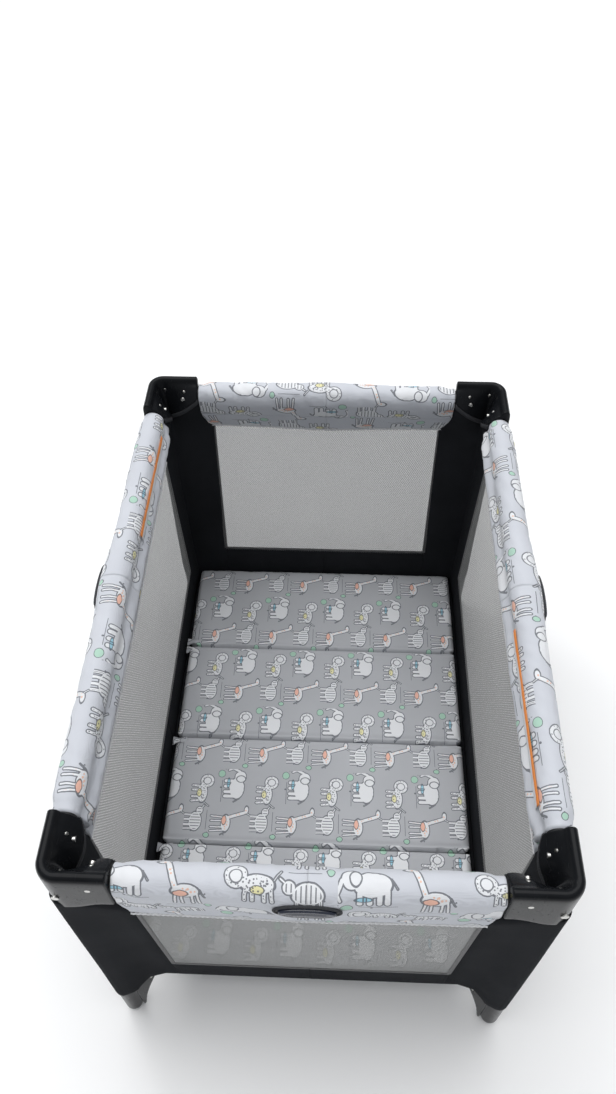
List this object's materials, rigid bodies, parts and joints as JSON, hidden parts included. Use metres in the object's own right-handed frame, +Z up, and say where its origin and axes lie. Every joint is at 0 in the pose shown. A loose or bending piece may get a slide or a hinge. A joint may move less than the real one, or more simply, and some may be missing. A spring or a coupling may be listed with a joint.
{
  "type": "folding travel playpen",
  "caption": "Rectangular folding playpen with mesh walls, padded top rails, moulded corner caps, horn-shaped feet, a centre fold hub and a folding padded floor mattress.",
  "frame": {"origin": "on the floor, at the centre of the rectangle that the playpen fills", "axes": "+Z up, +Y along the length from the front end wall to the back end wall, +X across the width from left to right"},
  "size_m": [0.76, 1.06, 0.735],
  "materials": {
    "powder_coated_steel": "satin powder coat over steel tube",
    "cap_plastic": "moulded charcoal plastic with a soft gloss",
    "zinc_steel": "zinc-plated steel",
    "wall_mesh": "open knitted netting with woven borders",
    "dark_fabric": "dark woven polyester",
    "webbing": "black polyester webbing",
    "print_fabric": null,
    "rail_fabric": "light grey padded cloth with the same print",
    "button_plastic": "dark navy moulded plastic"
  },
  "bodies": {
    "leg_front_left": {"leg_tube_front_left": "powder_coated_steel", "corner_cap_front_left": "cap_plastic", "foot_front_left": "cap_plastic", "corner_pins_front_left": "zinc_steel", "wall_fabric_front_left": "wall_mesh"},
    "leg_front_right": {"leg_tube_front_right": "powder_coated_steel", "corner_cap_front_right": "cap_plastic", "foot_front_right": "cap_plastic", "corner_pins_front_right": "zinc_steel", "wall_fabric_front_right": "wall_mesh"},
    "leg_back_left": {"leg_tube_back_left": "powder_coated_steel", "corner_cap_back_left": "cap_plastic", "foot_back_left": "cap_plastic", "corner_pins_back_left": "zinc_steel", "wall_fabric_back_left": "wall_mesh"},
    "leg_back_right": {"leg_tube_back_right": "powder_coated_steel", "corner_cap_back_right": "cap_plastic", "foot_back_right": "cap_plastic", "corner_pins_back_right": "zinc_steel", "wall_fabric_back_right": "wall_mesh"},
    "strut_front_left": {"floor_strut_front_left": "powder_coated_steel", "floor_fabric_front_left": "dark_fabric"},
    "strut_front_right": {"floor_strut_front_right": "powder_coated_steel", "floor_fabric_front_right": "dark_fabric"},
    "strut_back_left": {"floor_strut_back_left": "powder_coated_steel", "floor_fabric_back_left": "dark_fabric"},
    "strut_back_right": {"floor_strut_back_right": "powder_coated_steel", "floor_fabric_back_right": "dark_fabric"},
    "hub": {"hub_housing": "cap_plastic", "hub_lid": "cap_plastic", "hub_fasteners": "zinc_steel"},
    "pull_strap": {"pull_strap": "webbing"},
    "rail_front_left": {"front_rail_tube_left": "powder_coated_steel", "front_rail_pad_left": "rail_fabric"},
    "latch_front": {"front_latch_housing": "cap_plastic"},
    "rail_front_right": {"front_rail_tube_right": "powder_coated_steel", "front_rail_pad_right": "rail_fabric"},
    "button_front": {"front_release_button": "button_plastic"},
    "rail_left_front": {"left_rail_tube_front": "powder_coated_steel", "left_rail_pad_front": "rail_fabric"},
    "latch_left": {"left_latch_housing": "cap_plastic"},
    "rail_left_back": {"left_rail_tube_back": "powder_coated_steel", "left_rail_pad_back": "rail_fabric"},
    "button_left": {"left_release_button": "button_plastic"},
    "rail_back_right": {"back_rail_tube_right": "powder_coated_steel", "back_rail_pad_right": "rail_fabric"},
    "latch_back": {"back_latch_housing": "cap_plastic"},
    "rail_back_left": {"back_rail_tube_left": "powder_coated_steel", "back_rail_pad_left": "rail_fabric"},
    "button_back": {"back_release_button": "button_plastic"},
    "rail_right_back": {"right_rail_tube_back": "powder_coated_steel", "right_rail_pad_back": "rail_fabric"},
    "latch_right": {"right_latch_housing": "cap_plastic"},
    "rail_right_front": {"right_rail_tube_front": "powder_coated_steel", "right_rail_pad_front": "rail_fabric"},
    "button_right": {"right_release_button": "button_plastic"},
    "mattress_1": {"mattress_panel_1": "print_fabric"},
    "mattress_2": {"mattress_panel_2": "print_fabric"},
    "mattress_3": {"mattress_panel_3": "print_fabric"},
    "mattress_4": {"mattress_panel_4": "print_fabric"}
  },
  "joints": [
    {"name": "frame_fold", "type": "hinge", "parent": "leg_front_left", "child": "strut_front_left", "pos_m": [-0.312, -0.462, 0.1], "axis": [0.8438, -0.5366, 0], "range_deg": [0, 85], "deforming": ["wall_fabric_front_left", "wall_fabric_front_right", "wall_fabric_back_left", "wall_fabric_back_right", "floor_fabric_front_left", "floor_fabric_front_right", "floor_fabric_back_left", "floor_fabric_back_right", "mattress_panel_1", "mattress_panel_2", "mattress_panel_3", "mattress_panel_4", "pull_strap"]},
    {"name": "hub_level", "type": "hinge", "parent": "strut_front_left", "child": "hub", "pos_m": [-0.05, -0.05, 0.1], "axis": [-0.8438, 0.5366, 0], "range_deg": [0, 85]},
    {"name": "hub_to_strut_front_right", "type": "hinge", "parent": "hub", "child": "strut_front_right", "pos_m": [0.05, -0.05, 0.1], "axis": [0.8438, 0.5366, 0], "range_deg": [0, 85]},
    {"name": "strut_to_leg_front_right", "type": "hinge", "parent": "strut_front_right", "child": "leg_front_right", "pos_m": [0.312, -0.462, 0.1], "axis": [-0.8438, -0.5366, 0], "range_deg": [0, 85]},
    {"name": "hub_to_strut_back_left", "type": "hinge", "parent": "hub", "child": "strut_back_left", "pos_m": [-0.05, 0.05, 0.1], "axis": [-0.8438, -0.5366, 0], "range_deg": [0, 85]},
    {"name": "strut_to_leg_back_left", "type": "hinge", "parent": "strut_back_left", "child": "leg_back_left", "pos_m": [-0.312, 0.462, 0.1], "axis": [0.8438, 0.5366, 0], "range_deg": [0, 85]},
    {"name": "hub_to_strut_back_right", "type": "hinge", "parent": "hub", "child": "strut_back_right", "pos_m": [0.05, 0.05, 0.1], "axis": [-0.8438, 0.5366, 0], "range_deg": [0, 85]},
    {"name": "strut_to_leg_back_right", "type": "hinge", "parent": "strut_back_right", "child": "leg_back_right", "pos_m": [0.312, 0.462, 0.1], "axis": [0.8438, -0.5366, 0], "range_deg": [0, 85]},
    {"name": "front_rail_cap_pin", "type": "hinge", "parent": "leg_front_left", "child": "rail_front_left", "pos_m": [-0.292, -0.492, 0.7], "axis": [0, 1, 0], "range_deg": [0, 85]},
    {"name": "front_rail_latch_pin_left", "type": "hinge", "parent": "rail_front_left", "child": "latch_front", "pos_m": [-0.03, -0.492, 0.7], "axis": [0, -1, 0], "range_deg": [0, 85]},
    {"name": "front_rail_latch_pin_right", "type": "hinge", "parent": "latch_front", "child": "rail_front_right", "pos_m": [0.03, -0.492, 0.7], "axis": [0, -1, 0], "range_deg": [0, 85]},
    {"name": "front_button_press", "type": "slide", "parent": "latch_front", "child": "button_front", "axis": [0, 1, 0], "range_m": [0, 0.006], "stiffness_N_per_m": 600, "springref_m": -0.004},
    {"name": "left_rail_cap_pin", "type": "hinge", "parent": "leg_front_left", "child": "rail_left_front", "pos_m": [-0.342, -0.442, 0.7], "axis": [-1, 0, 0], "range_deg": [0, 85]},
    {"name": "left_rail_latch_pin_front", "type": "hinge", "parent": "rail_left_front", "child": "latch_left", "pos_m": [-0.342, -0.03, 0.7], "axis": [1, 0, 0], "range_deg": [0, 85]},
    {"name": "left_rail_latch_pin_back", "type": "hinge", "parent": "latch_left", "child": "rail_left_back", "pos_m": [-0.342, 0.03, 0.7], "axis": [1, 0, 0], "range_deg": [0, 85]},
    {"name": "left_button_press", "type": "slide", "parent": "latch_left", "child": "button_left", "axis": [1, 0, 0], "range_m": [0, 0.006], "stiffness_N_per_m": 600, "springref_m": -0.004},
    {"name": "back_rail_cap_pin", "type": "hinge", "parent": "leg_back_right", "child": "rail_back_right", "pos_m": [0.292, 0.492, 0.7], "axis": [0, -1, 0], "range_deg": [0, 85]},
    {"name": "back_rail_latch_pin_right", "type": "hinge", "parent": "rail_back_right", "child": "latch_back", "pos_m": [0.03, 0.492, 0.7], "axis": [0, 1, 0], "range_deg": [0, 85]},
    {"name": "back_rail_latch_pin_left", "type": "hinge", "parent": "latch_back", "child": "rail_back_left", "pos_m": [-0.03, 0.492, 0.7], "axis": [0, 1, 0], "range_deg": [0, 85]},
    {"name": "back_button_press", "type": "slide", "parent": "latch_back", "child": "button_back", "axis": [0, -1, 0], "range_m": [0, 0.006], "stiffness_N_per_m": 600, "springref_m": -0.004},
    {"name": "right_rail_cap_pin", "type": "hinge", "parent": "leg_back_right", "child": "rail_right_back", "pos_m": [0.342, 0.442, 0.7], "axis": [1, 0, 0], "range_deg": [0, 85]},
    {"name": "right_rail_latch_pin_back", "type": "hinge", "parent": "rail_right_back", "child": "latch_right", "pos_m": [0.342, 0.03, 0.7], "axis": [-1, 0, 0], "range_deg": [0, 85]},
    {"name": "right_rail_latch_pin_front", "type": "hinge", "parent": "latch_right", "child": "rail_right_front", "pos_m": [0.342, -0.03, 0.7], "axis": [-1, 0, 0], "range_deg": [0, 85]},
    {"name": "right_button_press", "type": "slide", "parent": "latch_right", "child": "button_right", "axis": [-1, 0, 0], "range_m": [0, 0.006], "stiffness_N_per_m": 600, "springref_m": -0.004},
    {"name": "strap_pull", "type": "slide", "parent": "hub", "child": "pull_strap", "axis": [0, 0, 1], "range_m": [0, 0.1271]},
    {"name": "mattress_lift", "type": "slide", "parent": "pull_strap", "child": "mattress_2", "axis": [0, 0, 1], "range_m": [0, 0.75]},
    {"name": "mattress_fold_1", "type": "hinge", "parent": "mattress_2", "child": "mattress_1", "pos_m": [0, -0.2335, 0.158], "axis": [-1, 0, 0], "range_deg": [0, 90]},
    {"name": "mattress_fold_2", "type": "hinge", "parent": "mattress_2", "child": "mattress_3", "pos_m": [0, 0, 0.158], "axis": [1, 0, 0], "range_deg": [0, 90]},
    {"name": "mattress_fold_3", "type": "hinge", "parent": "mattress_3", "child": "mattress_4", "pos_m": [0, 0.2335, 0.158], "axis": [1, 0, 0], "range_deg": [0, 90]}
  ],
  "couplings": [
    {"joint": "hub_level", "follows": "frame_fold", "ratio": 1},
    {"joint": "hub_to_strut_front_right", "follows": "frame_fold", "ratio": 1},
    {"joint": "strut_to_leg_front_right", "follows": "frame_fold", "ratio": 1},
    {"joint": "hub_to_strut_back_left", "follows": "frame_fold", "ratio": 1},
    {"joint": "strut_to_leg_back_left", "follows": "frame_fold", "ratio": 1},
    {"joint": "hub_to_strut_back_right", "follows": "frame_fold", "ratio": 1},
    {"joint": "strut_to_leg_back_right", "follows": "frame_fold", "ratio": 1},
    {"joint": "front_rail_cap_pin", "follows": "frame_fold", "ratio": 1},
    {"joint": "front_rail_latch_pin_left", "follows": "frame_fold", "ratio": 1},
    {"joint": "front_rail_latch_pin_right", "follows": "frame_fold", "ratio": 1},
    {"joint": "left_rail_cap_pin", "follows": "frame_fold", "ratio": 1},
    {"joint": "left_rail_latch_pin_front", "follows": "frame_fold", "ratio": 1},
    {"joint": "left_rail_latch_pin_back", "follows": "frame_fold", "ratio": 1},
    {"joint": "back_rail_cap_pin", "follows": "frame_fold", "ratio": 1},
    {"joint": "back_rail_latch_pin_right", "follows": "frame_fold", "ratio": 1},
    {"joint": "back_rail_latch_pin_left", "follows": "frame_fold", "ratio": 1},
    {"joint": "right_rail_cap_pin", "follows": "frame_fold", "ratio": 1},
    {"joint": "right_rail_latch_pin_back", "follows": "frame_fold", "ratio": 1},
    {"joint": "right_rail_latch_pin_front", "follows": "frame_fold", "ratio": 1},
    {"joint": "strap_pull", "follows": "frame_fold", "m_per_rad": 0.085}
  ]
}
